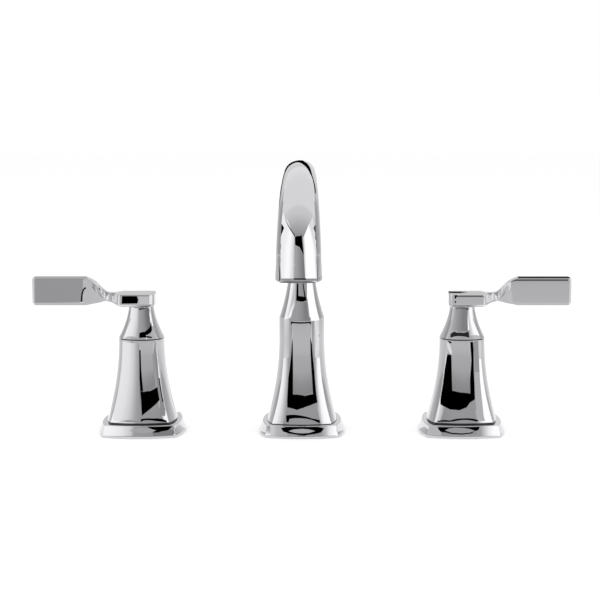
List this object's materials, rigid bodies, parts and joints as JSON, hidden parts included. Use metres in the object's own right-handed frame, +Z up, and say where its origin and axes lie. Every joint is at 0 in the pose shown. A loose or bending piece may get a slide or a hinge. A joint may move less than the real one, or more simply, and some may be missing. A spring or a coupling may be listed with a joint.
{
  "type": "widespread basin faucet",
  "caption": "Widespread bathroom faucet in polished chrome: arched spout and separate twisted-lever valves on flared square bodies.",
  "frame": {"origin": "where the spout's axis crosses the top of the basin or counter", "axes": "+Z up, +X to the right as the user sees it, -Y towards the user along the spout"},
  "size_m": [0.3406, 0.1594, 0.2501],
  "materials": {
    "polished_chrome": "polished",
    "cast_brass": "machined",
    "black_rubber": "matte",
    "alumina_ceramic": "lapped",
    "stainless_steel": "plain",
    "white_acetal": "moulded",
    "black_acetal": "moulded",
    "grey_nylon": "moulded"
  },
  "bodies": {
    "faucet": {"aerator_flow_straightener": "grey_nylon", "aerator_housing": "polished_chrome", "aerator_screen": "stainless_steel", "aerator_washer": "black_rubber", "left_backing_washer": "stainless_steel", "left_base": "polished_chrome", "left_base_gasket": "black_rubber", "left_body": "polished_chrome", "left_cartridge_housing": "cast_brass", "left_deck_washer": "black_rubber", "left_fixed_disc": "alumina_ceramic", "left_glide_ring": "black_acetal", "left_mounting_nut": "cast_brass", "left_seat_seal": "black_rubber", "left_valve_body": "cast_brass", "right_backing_washer": "stainless_steel", "right_base": "polished_chrome", "right_base_gasket": "black_rubber", "right_body": "polished_chrome", "right_cartridge_housing": "cast_brass", "right_deck_washer": "black_rubber", "right_fixed_disc": "alumina_ceramic", "right_glide_ring": "black_acetal", "right_mounting_nut": "cast_brass", "right_seat_seal": "black_rubber", "right_valve_body": "cast_brass", "spout": "polished_chrome", "spout_backing_washer": "stainless_steel", "spout_base": "polished_chrome", "spout_base_gasket": "black_rubber", "spout_deck_washer": "black_rubber", "spout_mounting_nut": "cast_brass", "spout_shank": "cast_brass", "spout_shank_seal": "black_rubber", "supply_tee": "cast_brass", "tee_seal": "black_rubber"},
    "left_handle": {"left_lever": "polished_chrome", "left_skirt": "polished_chrome", "left_set_screw": "stainless_steel", "left_handle_insert": "white_acetal", "left_stem": "cast_brass", "left_stem_clip": "stainless_steel", "left_stem_seal": "black_rubber", "left_turning_disc": "alumina_ceramic"},
    "right_handle": {"right_lever": "polished_chrome", "right_skirt": "polished_chrome", "right_set_screw": "stainless_steel", "right_handle_insert": "white_acetal", "right_stem": "cast_brass", "right_stem_clip": "stainless_steel", "right_stem_seal": "black_rubber", "right_turning_disc": "alumina_ceramic"}
  },
  "joints": [
    {"name": "left_handle_turn", "type": "hinge", "parent": "faucet", "child": "left_handle", "pos_m": [-0.1016, 0, 0.0603], "axis": [0, 0, 1], "range_deg": [0, 90]},
    {"name": "right_handle_turn", "type": "hinge", "parent": "faucet", "child": "right_handle", "pos_m": [0.1016, 0, 0.0603], "axis": [0, 0, 1], "range_deg": [-90, 0]}
  ]
}
